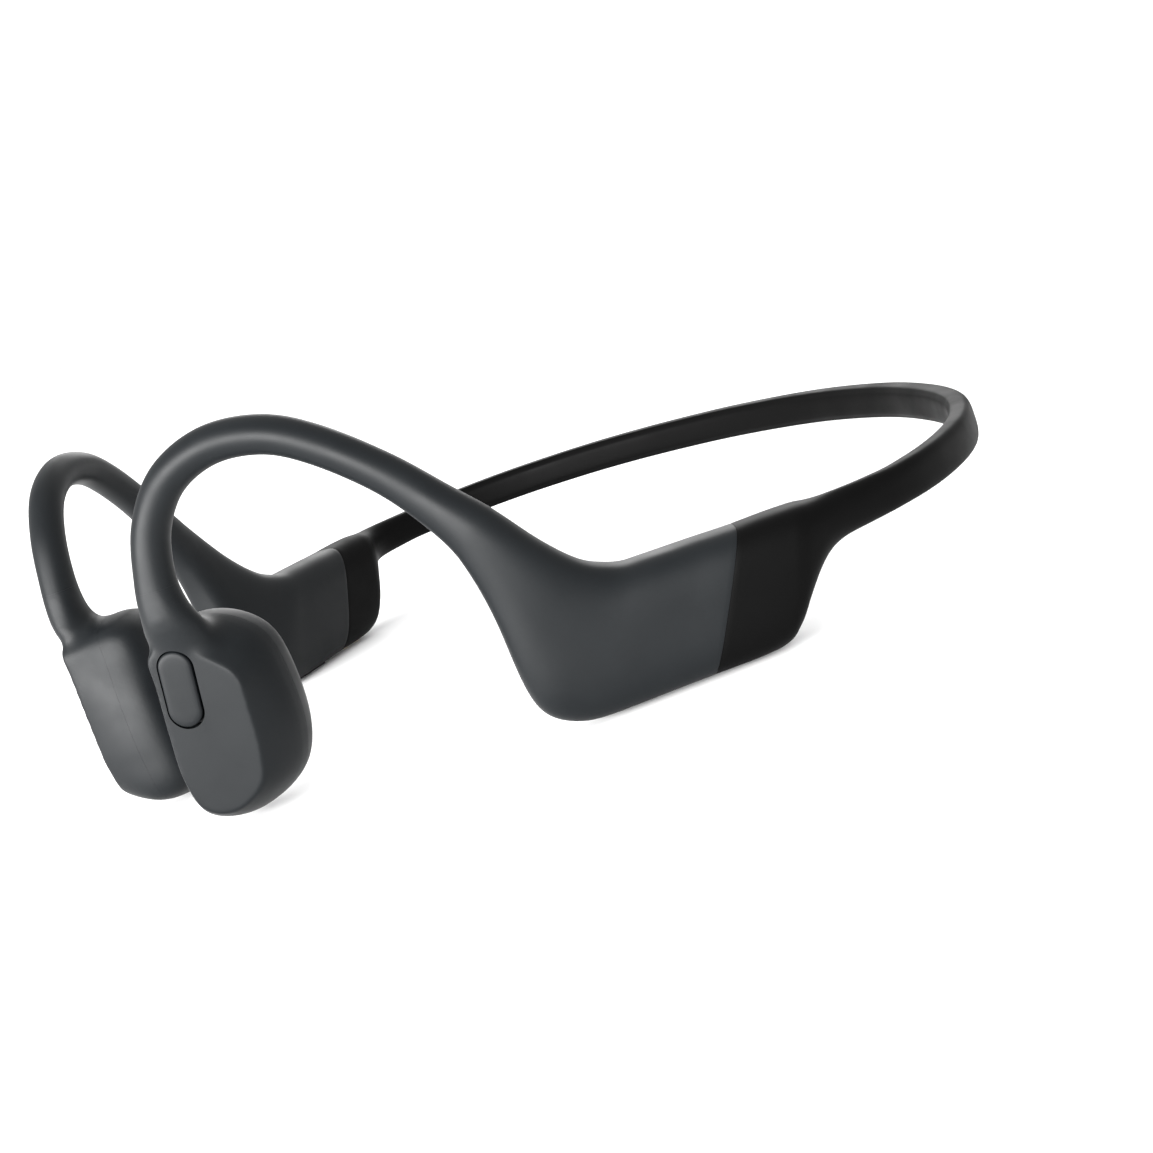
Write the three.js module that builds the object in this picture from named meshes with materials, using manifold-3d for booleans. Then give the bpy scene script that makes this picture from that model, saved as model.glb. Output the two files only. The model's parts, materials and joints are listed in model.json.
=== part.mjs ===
// Bone conduction headphones: an open neckband that runs behind the head, a pod behind each ear,
// a hook over each ear and a transducer in front of each ear.
// Millimetres. +Z is up, the wearer faces -Y and the wearer's left is +X.
// The origin is at the bottom centre: the part lies on the two transducers and the volume keys.
import * as THREE from "three";
import { mergeVertices } from "three/addons/utils/BufferGeometryUtils.js";
import Module from "manifold-3d";

const wasm = await Module();
wasm.setup();

// ---- driving dimensions ----
const GAP = 0.3;                 // clearance between neighbouring pieces
const SEAM_HALF_GAP = 0.03;      // half the gap at a joint between stations, in stations
const WALL = 1.1;                // moulded wall of the pods and transducers
const HOOK_RADIUS = 2.05;        // round ear hook
const POD_HALF_THICK = 4.2;
const POD_FOOT_Z = 0.5;          // flat underside of each pod
const BAND_HALF_HEIGHT = 2.15;
const BAND_HALF_THICK = 1.4;
const FLEX_X = 24;               // the band bends about an upright line at this distance from the middle
const WIRE_RADIUS = 0.4;         // sprung nickel-titanium wire
const LEAD_RADIUS = 0.35;        // bundle of enamelled wires
const CHANNEL_OFFSET = 0.6;      // wire above and lead below the middle of their channel
const CHANNEL_HALF = [1.3, 0.75];
const RING_SIDES = 14;
const ROUND_SIDES = 18;          // sides of the round driver parts
const TO_MIDDLE_Y = 12.3;        // moves the finished part so that its middle is over the origin

// Stations along one side, from the front end of the hook over the ear to the neck behind the pod.
// [x, y, z, heading, lean, half height, half thickness], the angles in degrees: heading turns from +Y
// towards +X, and lean tips the top of the section backwards.
const SIDE_STATIONS = [
  [16.8, -61.1, 24.6, 45, -92, 2.95, 2.3],
  [16.9, -60.8, 28.4, 45, -84, 2.25, 2.1],
  [18.1, -59.4, 33.7, 45, -60, 2.05, 2.05],
  [20.9, -56.8, 37.9, 45, -33, 2.05, 2.05],
  [25.0, -53.0, 39.8, 45, -6, 2.05, 2.05],
  [29.2, -48.9, 39.1, 45, 18, 2.05, 2.05],
  [32.7, -45.4, 36.4, 45, 34, 2.05, 2.05],
  [36.6, -41.4, 31.5, 44, 46, 2.1, 2.05],
  [39.5, -38.5, 26.6, 42, 51, 2.4, 2.2],
  [41.3, -36.4, 22.4, 38, 51, 3.1, 2.5],
  [42.0, -34.5, 17.0, 33, 49, 4.5, 3.1],
  [42.2, -32.8, 11.8, 29, 46, 6.7, 3.7],
  [42.7, -31.1, 9.0, 27, 43, 8.2, 4.0],
  [43.6, -28.8, 7.6, 27, 36, 8.4, 4.2],
  [45.0, -26.0, 7.3, 27, 29, 8.0, 4.2],
  [47.2, -21.6, 7.2, 27, 29, 7.9, 4.2],
  [49.5, -17.2, 7.1, 27, 28, 7.7, 4.2],
  [52.1, -11.8, 7.1, 26, 19, 7.1, 4.1],
  [53.1, -9.7, 7.8, 25, 18, 6.2, 3.9],
  [54.1, -7.6, 9.5, 22, 19, 4.15, 3.1],
  [55.1, -5.4, 10.9, 16, 14, 2.6, 2.0],
  [56.0, -2.6, 11.0, 5, 0, 2.35, 1.5],
];
const HOOK_POD_JOIN = 11;        // station where the pod's cavity begins
const SEAM = 16;                 // station where the front cover meets the rear cover
const POD_REAR = 17.8;           // end of the pod's cavity
const NECK = SIDE_STATIONS.length - 1;
const WIRE_END = 9.5;            // station where the hook's wire is anchored

// Middle line of the left half of the neckband, from the neck to the middle of the back.
const BAND_POINTS = [
  [56.0, -2.6, 11.0],
  [56.4, 3.0, 11.0],
  [55.0, 9.5, 11.0],
  [51.5, 16.5, 11.0],
  [46.5, 22.5, 11.0],
  [39.0, 28.5, 11.0],
  [29.0, 33.5, 11.0],
  [16.0, 37.5, 11.0],
  [0.0, 39.2, 11.0],
];

// Transducers: local X runs back along the face, Y into the head and Z up.
const TRANSDUCER_AT = [17.1, -61.6, 12.4];
const TRANSDUCER_YAW = 45;
const TRANSDUCER_TILT = 3.2;
const SEAM_DEPTH = 5.6;          // outer housing meets the contact shell
const TRANSDUCER_DEPTH = 10.4;
const ROUND_FROM = 6.6;          // the contact shell's edge is rounded from this depth
const ROUND_INSET = 3.0;
const SPRING_DEPTH = 7.4;
const BOSS_RADIUS = 1.2;
const DRIVER_AT = [0.5, -3.0];   // middle of the round driver, along local X and Z
const DRIVER_RADIUS = 5.1;
// Outline of the flat outer face and of the widest section, as [x, z] points of closed curves.
const FACE_OUTLINE = [
  [-3.2, 8.8], [0.2, 8.8], [3.2, 6.6], [5.2, 3.9], [4.9, 0], [4.1, -4.8],
  [2.6, -8.2], [-1.3, -10.0], [-4.5, -8.8], [-5.3, -5], [-4.7, 0], [-3.9, 5],
];
const BODY_OUTLINE = [
  [-3.7, 9.2], [0.5, 10.3], [4.5, 9.3], [7.5, 6.5], [8.3, 2.2], [7.7, -4.6],
  [5.0, -9.6], [-1.0, -12.1], [-6.3, -10.8], [-7.0, -5.4], [-6.3, 0], [-4.9, 5.6],
];

// Multifunction button on the left transducer's face.
const BUTTON_AT = [-1.25, 4.5];
const BUTTON_HALF = [4.25, 1.9];
const BUTTON_LEAN = 11;
const BUTTON_SLOT = 0.3;         // groove round the button
const BUTTON_PROUD = 0.15;
const BUTTON_LEDGE = 1.2;        // depth of the ledge that holds the button's flange in

// Volume keys under the right pod, along the pod's own direction.
const POD_HEADING = 27;
const POD_AT = [46.9, -22.2, 7.2];
const KEY_LENGTH = 4.8;
const KEY_HALF_WIDTH = 0.9;
const KEY_AT = [-8.0, -2.9];     // middles of the two keys along the pod
const KEY_TOP = 1.9;             // height of a key's top above the ground

// Round parts in the undersides: [place along the pod, radius].
const CONTACT = [5.2, 0.8];
const CONTACT_PITCH = 2.8;
const LIGHT = [3.2, 0.4];
const MICROPHONE = [-3.0, 0.5];

const RAD = Math.PI / 180;

// ---- materials ----
const plastic = (color, roughness) => new THREE.MeshStandardMaterial({ color, roughness, metalness: 0 });
const metal = (color, roughness) => new THREE.MeshStandardMaterial({ color, roughness, metalness: 1 });
const LOOK = {
  slate: () => plastic(0x3a3f43, 0.55),
  black: () => plastic(0x141516, 0.6),
  key: () => plastic(0x1b1c1e, 0.5),
  seal: () => plastic(0x2b2b2d, 0.8),
  tray: () => plastic(0x8d9092, 0.6),
  cell: () => plastic(0xb9bcbf, 0.35),
  board: () => plastic(0x14532f, 0.5),
  lens: () => plastic(0xe8ece8, 0.3),
  lead: () => plastic(0x7a1f1f, 0.5),
  steel: () => metal(0x8b9096, 0.4),
  magnet: () => metal(0xc4c8cc, 0.25),
  copper: () => metal(0xb46a3c, 0.35),
  gold: () => metal(0xd8b25a, 0.3),
  wire: () => metal(0x9a9ca0, 0.35),
};

// ---- closed meshes and booleans ----
const vec = (x, y, z) => new THREE.Vector3(x, y, z);

function solid(geometry) {
  const plain = geometry.clone();
  plain.deleteAttribute("normal");
  plain.deleteAttribute("uv");
  const merged = mergeVertices(plain, 1e-4);
  return new wasm.Manifold(new wasm.Mesh({
    numProp: 3,
    vertProperties: new Float32Array(merged.attributes.position.array),
    triVerts: new Uint32Array(merged.index.array),
  }));
}

function geometryOf(manifold) {
  const mesh = manifold.getMesh();
  const geometry = new THREE.BufferGeometry();
  geometry.setAttribute("position", new THREE.BufferAttribute(new Float32Array(mesh.vertProperties), 3));
  geometry.setIndex(new THREE.BufferAttribute(new Uint32Array(mesh.triVerts), 1));
  return geometry;
}

const cut = (geometry, ...tools) =>
  geometryOf(tools.reduce((a, t) => a.subtract(solid(t)), solid(geometry)));
const join = (geometry, ...more) => geometryOf(more.reduce((a, t) => a.add(solid(t)), solid(geometry)));
const common = (geometry, other) => geometryOf(solid(geometry).intersect(solid(other)));

// Mirror a geometry across x = 0, keeping its faces pointing out.
function mirrored(geometry) {
  const copy = mergeVertices(geometry.clone().deleteAttribute("normal"), 1e-4);
  copy.scale(-1, 1, 1);
  const index = copy.index.array;
  for (let i = 0; i < index.length; i += 3) [index[i], index[i + 1]] = [index[i + 1], index[i]];
  return copy;
}

// Close a stack of rings into one body. Each ring has the same number of points, and the rings
// follow one another along the axis that their points turn about by the right-hand rule.
function skin(rings) {
  const sides = rings[0].length;
  const points = rings.flat();
  const faces = [];
  for (let r = 0; r + 1 < rings.length; r++) {
    for (let i = 0; i < sides; i++) {
      const j = (i + 1) % sides;
      const [a, b, c, d] = [r * sides + i, r * sides + j, (r + 1) * sides + j, (r + 1) * sides + i];
      faces.push(a, b, c, a, c, d);
    }
  }
  for (const [ring, first] of [[rings[0], 0], [rings.at(-1), (rings.length - 1) * sides]]) {
    const middle = points.length;
    points.push(ring.reduce((sum, p) => sum.add(p), vec(0, 0, 0)).divideScalar(sides));
    for (let i = 0; i < sides; i++) {
      const j = (i + 1) % sides;
      if (first === 0) faces.push(middle, first + j, first + i);
      else faces.push(middle, first + i, first + j);
    }
  }
  const geometry = new THREE.BufferGeometry().setFromPoints(points);
  geometry.setIndex(faces);
  return geometry;
}

// ---- sections along a side ----
// Catmull-Rom value through evenly spaced rows, at a fractional row number.
function along(rows, at) {
  const i = Math.min(Math.floor(at), rows.length - 2);
  const t = at - i;
  const row = (k) => rows[Math.max(0, Math.min(rows.length - 1, k))];
  const [p, q, r, s] = [row(i - 1), row(i), row(i + 1), row(i + 2)];
  return q.map((_, k) => 0.5 * (2 * q[k] + (r[k] - p[k]) * t
    + (2 * p[k] - 5 * q[k] + 4 * r[k] - s[k]) * t * t
    + (3 * q[k] - p[k] - 3 * r[k] + s[k]) * t * t * t));
}

// A section's middle, its outward and upward directions and its half sizes.
function sideSection(at) {
  const [x, y, z, heading, lean, half, thick] = along(SIDE_STATIONS, at);
  const forward = vec(Math.sin(heading * RAD), Math.cos(heading * RAD), 0);
  const out = vec(Math.cos(heading * RAD), -Math.sin(heading * RAD), 0);
  const up = vec(0, 0, Math.cos(lean * RAD)).addScaledVector(forward, Math.sin(lean * RAD));
  const squareness = THREE.MathUtils.clamp((thick - HOOK_RADIUS) / (POD_HALF_THICK - HOOK_RADIUS), 0, 1);
  return { middle: vec(x, y, z), out, up, half, thick, power: 2 + 1.3 * squareness };
}

// The neckband as one curve, from the left pod's neck (0) to the right pod's (2 * TIP).
const TIP = BAND_POINTS.length - 1;
const bandRows = [...BAND_POINTS, ...BAND_POINTS.slice(0, -1).reverse().map(([x, y, z]) => [-x, y, z])];
function bandSection(at) {
  const [x, y, z] = along(bandRows, at);
  const [x1, y1] = along(bandRows, Math.max(0, at - 0.05));
  const [x2, y2] = along(bandRows, Math.min(2 * TIP, at + 0.05));
  const out = vec(y2 - y1, x1 - x2, 0).normalize();
  const slim = Math.min(1, at, 2 * TIP - at);
  const half = THREE.MathUtils.lerp(SIDE_STATIONS.at(-1)[5], BAND_HALF_HEIGHT, slim);
  const thick = THREE.MathUtils.lerp(SIDE_STATIONS.at(-1)[6], BAND_HALF_THICK, slim);
  return { middle: vec(x, y, z), out, up: vec(0, 0, 1), half, thick, power: 3 };
}

const spread = (value, power) => Math.sign(value) * Math.abs(value) ** (2 / power);

// Ring of points round a section: shrink takes a wall off it, and lift moves it along the section's up.
function ring(section, { shrink = 0, half = section.half - shrink, thick = section.thick - shrink,
  power = section.power, lift = 0, sides = RING_SIDES } = {}) {
  return Array.from({ length: sides }, (_, i) => {
    const angle = (2 * Math.PI * (i + 0.5)) / sides;
    return section.middle.clone()
      .addScaledVector(section.out, thick * spread(Math.cos(angle), power))
      .addScaledVector(section.up, lift + half * spread(Math.sin(angle), power));
  });
}

// Loft the sections from one station to another. Their points turn about the way back, so each ring
// is reversed to make the faces point out.
function loft(sectionAt, from, to, steps, options) {
  return skin(Array.from({ length: steps + 1 },
    (_, i) => ring(sectionAt(from + ((to - from) * i) / steps), options).reverse()));
}

const channel = { half: CHANNEL_HALF[0], thick: CHANNEL_HALF[1], power: 2.6, sides: 6 };
const wire = { half: WIRE_RADIUS, thick: WIRE_RADIUS, power: 2, lift: CHANNEL_OFFSET, sides: 6 };
const lead = { half: LEAD_RADIUS, thick: LEAD_RADIUS, power: 2, lift: -CHANNEL_OFFSET, sides: 6 };
const boxAt = (sizes, middle) => new THREE.BoxGeometry(...sizes).translate(...middle);

// ---- pods and neckband ----
const belowFoot = boxAt([400, 400, 20], [0, 0, POD_FOOT_Z - 10]);

function hookCover() {
  const outside = loft(sideSection, 0, SEAM - SEAM_HALF_GAP, 32);
  const cavity = loft(sideSection, HOOK_POD_JOIN, SEAM + 0.4, 10, { shrink: WALL });
  const bore = loft(sideSection, -0.02, HOOK_POD_JOIN + 0.3, 16, channel);
  return cut(outside, cavity, bore, belowFoot);
}

function rearCover() {
  const outside = loft(sideSection, SEAM + SEAM_HALF_GAP, NECK - SEAM_HALF_GAP, 14);
  const cavity = loft(sideSection, SEAM - 0.4, POD_REAR, 6, { shrink: WALL });
  const bore = loft(sideSection, POD_REAR - 0.4, NECK + 0.1, 8, channel);
  return cut(outside, cavity, bore, belowFoot);
}

// Station where the left half of the band crosses the flex line.
function stationAtX(x) {
  let [low, high] = [0, TIP];
  while (high - low > 1e-4) {
    const middle = (low + high) / 2;
    if (along(bandRows, middle)[0] > x) low = middle;
    else high = middle;
  }
  return low;
}
const flexStation = stationAtX(FLEX_X);
const [, flexY, flexZ] = along(bandRows, flexStation);
const flexPost = (radius) => new THREE.CylinderGeometry(radius, radius, 12, ROUND_SIDES)
  .rotateX(Math.PI / 2).translate(FLEX_X, flexY, flexZ);

// An arm ends in a half-round, which turns in the hollow end of the band's middle.
function bandArm() {
  const straight = loft(bandSection, 0.05, flexStation, 12);
  const beyond = loft(bandSection, flexStation - 0.3, flexStation + 0.3, 2);
  const bore = loft(bandSection, -0.02, flexStation + 0.5, 12, channel);
  return cut(join(straight, common(beyond, flexPost(BAND_HALF_THICK))), bore);
}

function bandMiddle() {
  const hollow = flexPost(BAND_HALF_THICK + GAP);
  const outside = loft(bandSection, flexStation, 2 * TIP - flexStation, 12);
  const bore = loft(bandSection, flexStation - 0.3, 2 * TIP - flexStation + 0.3, 12, channel);
  return cut(outside, hollow, mirrored(hollow), bore);
}

// ---- transducers, in their own frame ----
const driverAt = (geometry, depth) => geometry.translate(DRIVER_AT[0], depth, DRIVER_AT[1]);
const disc = (radius, from, to, sides = ROUND_SIDES) =>
  driverAt(new THREE.CylinderGeometry(radius, radius, to - from, sides), (from + to) / 2);

// A closed profile of [radius, depth] points turned about the driver's axis.
function turned(profile, sides = ROUND_SIDES) {
  const closed = [...profile, profile[0]].map(([radius, depth]) => new THREE.Vector2(radius, depth));
  return driverAt(new THREE.LatheGeometry(closed, sides), 0);
}

const closedCurve = (points) =>
  new THREE.CatmullRomCurve3(points.map(([x, z]) => vec(x, 0, z)), true, "catmullrom", 0.5);
const faceCurve = closedCurve(FACE_OUTLINE);
const bodyCurve = closedCurve(BODY_OUTLINE);

// Outline of the transducer at a depth below its face, moved inwards by inset.
function outlineRing(depth, inset = 0, sides = 24) {
  const share = 1 - (1 - Math.min(1, depth / SEAM_DEPTH)) ** 1.6;
  const bend = Math.max(0, (depth - ROUND_FROM) / (TRANSDUCER_DEPTH - ROUND_FROM));
  const rounding = ROUND_INSET * (1 - Math.sqrt(1 - Math.min(1, bend) ** 2));
  const points = Array.from({ length: sides }, (_, i) =>
    faceCurve.getPoint(i / sides).lerp(bodyCurve.getPoint(i / sides), share));
  return points.map((p, i) => {
    const way = points[(i + 1) % sides].clone().sub(points[(i + sides - 1) % sides]).normalize();
    return vec(p.x - (inset + rounding) * -way.z, depth, p.z - (inset + rounding) * way.x);
  });
}

// Stadium outline of the multifunction button, grown by extra, at a depth.
function pillRing(depth, extra = 0, sides = 16) {
  const [halfLength, radius] = BUTTON_HALF;
  const [cos, sin] = [Math.cos(BUTTON_LEAN * RAD), Math.sin(BUTTON_LEAN * RAD)];
  return Array.from({ length: sides }, (_, i) => {
    const angle = (2 * Math.PI * (i + 0.5)) / sides;
    const across = (radius + extra) * Math.sin(angle);
    const end = Math.sign(Math.cos(angle)) * (halfLength - radius);
    const lengthways = (radius + extra) * Math.cos(angle) + end;
    return vec(BUTTON_AT[0] + across * cos + lengthways * sin, depth,
      BUTTON_AT[1] - across * sin + lengthways * cos);
  });
}

function transducerFrame(side) {
  const frame = new THREE.Group();
  frame.position.set(side * TRANSDUCER_AT[0], TRANSDUCER_AT[1], TRANSDUCER_AT[2]);
  frame.rotation.set(TRANSDUCER_TILT * RAD, 0, side * TRANSDUCER_YAW * RAD, "ZYX");
  frame.updateMatrixWorld();
  return frame;
}

// The hook's lower end, seen from the transducer, widening into the housing as it goes down.
function neckSections() {
  const inside = transducerFrame(1).matrixWorld.clone().invert();
  const seam = sideSection(0);
  const middle = seam.middle.clone().applyMatrix4(inside).add(vec(0, 0, -GAP));
  const [out, up] = [seam.out, seam.up].map((v) => v.clone().transformDirection(inside));
  const top = { middle, out, up, half: seam.half, thick: seam.thick, power: 2 };
  const waist = { ...top, middle: middle.clone().add(vec(0, 0.6, -2.4)), half: 3.75, thick: 2.5 };
  const root = { ...top, middle: middle.clone().add(vec(0, 1.4, -5.4)), half: 4.6, thick: 2.5 };
  return [root, waist, top];
}

function housing(hasButton) {
  const depths = [0, 0.5, 1.4, 2.6, 4.0, SEAM_DEPTH - GAP / 2];
  const shell = skin(depths.map((depth) => outlineRing(depth)));
  const neck = skin(neckSections().map((section) => ring(section).reverse()));
  const cavity = skin([WALL, 2.6, 4.0, SEAM_DEPTH + 0.2].map((depth) => outlineRing(depth, WALL)));
  const boreSections = neckSections();
  boreSections.at(-1).middle.z += 0.2;
  const bore = skin(boreSections.map((section) => ring(section, channel).reverse()));
  const opening = skin([-2, WALL + 0.5].map((depth) => pillRing(depth, BUTTON_SLOT)));
  const pocket = skin([BUTTON_LEDGE, 2.5].map((depth) => pillRing(depth, BUTTON_SLOT + 0.35)));
  return cut(join(shell, neck), cavity, bore, ...(hasButton ? [opening, pocket] : []));
}

function contactShell() {
  const shell = skin([SEAM_DEPTH + GAP / 2, ROUND_FROM, 8.2, 9.2, 9.9, 10.25, TRANSDUCER_DEPTH]
    .map((depth) => outlineRing(depth)));
  const cavityDepths = [SEAM_DEPTH - 0.2, ROUND_FROM, TRANSDUCER_DEPTH - WALL];
  const cavity = skin(cavityDepths.map((depth) => outlineRing(depth, WALL)));
  return cut(shell, cavity);
}

// Spring disc with three curved slots, so that its middle can move against its rim.
function suspensionSpring() {
  const slots = [0, 1, 2].map((i) => {
    const arc = new THREE.Shape();
    const start = (i * 2 * Math.PI) / 3;
    arc.absarc(0, 0, 4.3, start, start + 1.5, false);
    arc.absarc(0, 0, 3.6, start + 1.5, start, true);
    const slot = new THREE.ExtrudeGeometry(arc, { depth: 1, bevelEnabled: false, curveSegments: 4 });
    return driverAt(slot.rotateX(Math.PI / 2), SPRING_DEPTH + 0.5);
  });
  const plate = turned([[BOSS_RADIUS + GAP, SPRING_DEPTH - 0.1], [DRIVER_RADIUS, SPRING_DEPTH - 0.1],
    [DRIVER_RADIUS, SPRING_DEPTH + 0.1], [BOSS_RADIUS + GAP, SPRING_DEPTH + 0.1]]);
  return cut(plate, ...slots);
}

// Profiles of [radius, depth] points.
const YOKE = [[0, 3.5], [DRIVER_RADIUS, 3.5], [DRIVER_RADIUS, 6.0], [4.6, 6.0], [4.6, 4.25], [0, 4.25]];
const COIL = [[3.95, 5.0], [4.35, 5.0], [4.35, 6.7], [3.95, 6.7]];
const BRACKET = [[0, 6.8], [4.6, 6.8], [4.6, 7.2], [BOSS_RADIUS, 7.2], [BOSS_RADIUS, 9.2], [0, 9.2]];
const transducerPieces = {
  contact_shell: [contactShell, LOOK.slate],
  driver_yoke: [() => turned(YOKE), LOOK.steel],
  driver_magnet: [() => disc(3.7, 4.35, 5.35), LOOK.magnet],
  driver_top_plate: [() => disc(3.7, 5.45, 6.0), LOOK.steel],
  voice_coil: [() => turned(COIL), LOOK.copper],
  coil_bracket: [() => turned(BRACKET), LOOK.tray],
  suspension_spring: [suspensionSpring, LOOK.steel],
};

const behindButton = (sizes, aside, depth, lift) =>
  boxAt(sizes, [BUTTON_AT[0] + aside, depth, BUTTON_AT[1] + lift]);
const buttonPieces = {
  multifunction_button: [() => join(
    skin([[-BUTTON_PROUD, -0.35], [0, 0], [1.4, 0]].map(([depth, extra]) => pillRing(depth, extra))),
    skin([1.35, 1.65].map((depth) => pillRing(depth, BUTTON_SLOT + 0.15)))), LOOK.slate],
  button_membrane: [() => skin([2.0, 2.15].map((depth) => pillRing(depth, 0.3))), LOOK.seal],
  button_switch: [() => behindButton([2.6, 0.6, 2.6], 0.6, 2.55, 0), LOOK.steel],
  button_flex_board: [() => behindButton([3.4, 0.15, 6.4], 0.7, 3.05, 0.2), LOOK.board],
};

// ---- inside the pods, in the pod's frame: X outwards, Y back and Z up ----
function podFrame(side) {
  const frame = new THREE.Group();
  frame.position.set(side * POD_AT[0], POD_AT[1], POD_AT[2]);
  frame.rotation.z = -side * POD_HEADING * RAD;
  frame.updateMatrix();
  return frame;
}

const FLOOR_Z = POD_FOOT_Z + WALL - POD_AT[2];   // inside of the pod's underside
const TRAY_WIDTH = 4.0;
const TRAY_WALL = 0.45;
const TRAY_LENGTH = 17.4;
const tray = () => join(boxAt([TRAY_WIDTH, TRAY_LENGTH, TRAY_WALL], [0, 0, FLOOR_Z + 0.85]),
  boxAt([TRAY_WIDTH, TRAY_WALL, 5.2], [0, (TRAY_LENGTH - TRAY_WALL) / 2, FLOOR_Z + 3.2]));

// ---- volume keys, charging contacts, light and microphone in the pods' undersides ----
const HOLE_GAP = 0.25;
const KEY_SPAN = KEY_AT[1] - KEY_AT[0] + KEY_LENGTH;
const KEY_MIDDLE = (KEY_AT[0] + KEY_AT[1]) / 2;
// A box or pin in the pod's frame, between two heights above the ground.
const blockUp = ([x, y], at, low, high) => boxAt([x, y, high - low], [0, at, (low + high) / 2 - POD_AT[2]]);
const pinUp = (radius, at, low, high) => new THREE.CylinderGeometry(radius, radius, high - low, 10)
  .rotateX(Math.PI / 2).translate(0, at, (low + high) / 2 - POD_AT[2]);

const volumeKey = (at) => join(blockUp([2 * KEY_HALF_WIDTH, KEY_LENGTH], at, 0, KEY_TOP + 0.1),
  blockUp([2 * KEY_HALF_WIDTH + 0.8, KEY_LENGTH], at, KEY_TOP, KEY_TOP + 0.3));
const KEY_SLOT = [2 * (KEY_HALF_WIDTH + HOLE_GAP), KEY_SPAN + 2 * HOLE_GAP];
const keySlot = () => blockUp(KEY_SLOT, KEY_MIDDLE, -1, KEY_TOP - 0.1);
const pinHole = ([at, radius]) => pinUp(radius + HOLE_GAP, at, -1, 2.2);

const leftPodPieces = {
  battery_tray: [tray, LOOK.tray],
  battery_cell: [() => boxAt([4.0, 15.6, 8.0], [0, 0.1, FLOOR_Z + 5.3]), LOOK.cell],
  battery_protection_board: [() => boxAt([4.0, 0.8, 6.5], [0, 9.3, FLOOR_Z + 4.2]), LOOK.board],
  microphone: [() => blockUp([2.2, 3.0], MICROPHONE[0], 1.75, 2.1), LOOK.steel],
};

const rightPodPieces = {
  volume_down_key: [() => volumeKey(KEY_AT[0]), LOOK.key],
  volume_up_key: [() => volumeKey(KEY_AT[1]), LOOK.key],
  key_membrane: [() => blockUp([3.0, KEY_SPAN + 1], KEY_MIDDLE, 2.65, 2.8), LOOK.seal],
  volume_down_switch: [() => blockUp([2.2, 2.6], KEY_AT[0], 2.95, 3.55), LOOK.steel],
  volume_up_switch: [() => blockUp([2.2, 2.6], KEY_AT[1], 2.95, 3.55), LOOK.steel],
  main_board: [() => boxAt([0.8, 16.5, 7.6], [-1.2, 0.5, 0.9]), LOOK.board],
  radio_shield: [() => boxAt([1.4, 7, 5.6], [0.1, -2.5, 1.2]), LOOK.steel],
  charging_contact_front: [() => pinUp(CONTACT[1], CONTACT[0], POD_FOOT_Z, 2.6), LOOK.gold],
  charging_contact_rear: [() => pinUp(CONTACT[1], CONTACT[0] + CONTACT_PITCH, POD_FOOT_Z, 2.6), LOOK.gold],
  charging_magnet: [() => blockUp([3.4, 5.6], CONTACT[0] + CONTACT_PITCH / 2, 2.75, 3.9), LOOK.magnet],
  status_light_pipe: [() => pinUp(LIGHT[1], LIGHT[0], POD_FOOT_Z, 2.6), LOOK.lens],
};

// ---- assembly ----
const headphones = new THREE.Group();
headphones.position.y = TO_MIDDLE_Y;

function addPiece(name, geometry, look, parent = headphones) {
  const mesh = new THREE.Mesh(geometry, look());
  mesh.name = name;
  parent.add(mesh);
}

const handed = (geometry, side) => (side === 1 ? geometry : mirrored(geometry));
const inPlace = (geometry) => geometry.applyMatrix4(podFrame(1).matrix);

function addSide(word, side) {
  const isLeft = side === 1;
  const frontCuts = isLeft ? [pinHole(MICROPHONE)] : [keySlot()];
  const rearCuts = isLeft ? [] : [CONTACT, [CONTACT[0] + CONTACT_PITCH, CONTACT[1]], LIGHT].map(pinHole);
  const front = cut(hookCover(), ...frontCuts.map(inPlace));
  const rear = cut(rearCover(), ...rearCuts.map(inPlace));
  addPiece(`${word}_hook_cover`, handed(front, side), LOOK.slate);
  addPiece(`${word}_pod_rear_cover`, handed(rear, side), LOOK.black);
  addPiece(`${word}_hook_wire`, handed(loft(sideSection, 0.15, WIRE_END, 14, wire), side), LOOK.wire);
  addPiece(`${word}_hook_lead`, handed(loft(sideSection, 0.15, HOOK_POD_JOIN, 14, lead), side), LOOK.lead);
  addPiece(`${word}_band_arm`, handed(bandArm(), side), LOOK.black);

  const transducer = transducerFrame(side);
  headphones.add(transducer);
  addPiece(`${word}_transducer_housing`, handed(housing(isLeft), side), LOOK.slate, transducer);
  for (const [name, [make, look]] of Object.entries(transducerPieces)) {
    addPiece(`${word}_${name}`, handed(make(), side), look, transducer);
  }
  if (isLeft) {
    for (const [name, [make, look]] of Object.entries(buttonPieces)) {
      addPiece(name, make(), look, transducer);
    }
  }

  const pod = podFrame(side);
  headphones.add(pod);
  for (const [name, [make, look]] of Object.entries(isLeft ? leftPodPieces : rightPodPieces)) {
    addPiece(name, handed(make(), side), look, pod);
  }
}

addSide("left", 1);
addSide("right", -1);
addPiece("band_middle", bandMiddle(), LOOK.black);
addPiece("band_wire", loft(bandSection, 0.1, 2 * TIP - 0.1, 32, wire), LOOK.wire);
addPiece("band_lead", loft(bandSection, 0.1, 2 * TIP - 0.1, 32, lead), LOOK.lead);

export default headphones;
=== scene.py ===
# Bone conduction headphones: the visual model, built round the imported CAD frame.
import json
import math
import bmesh
import bpy
import numpy as np
from mathutils import Matrix, Vector


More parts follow.
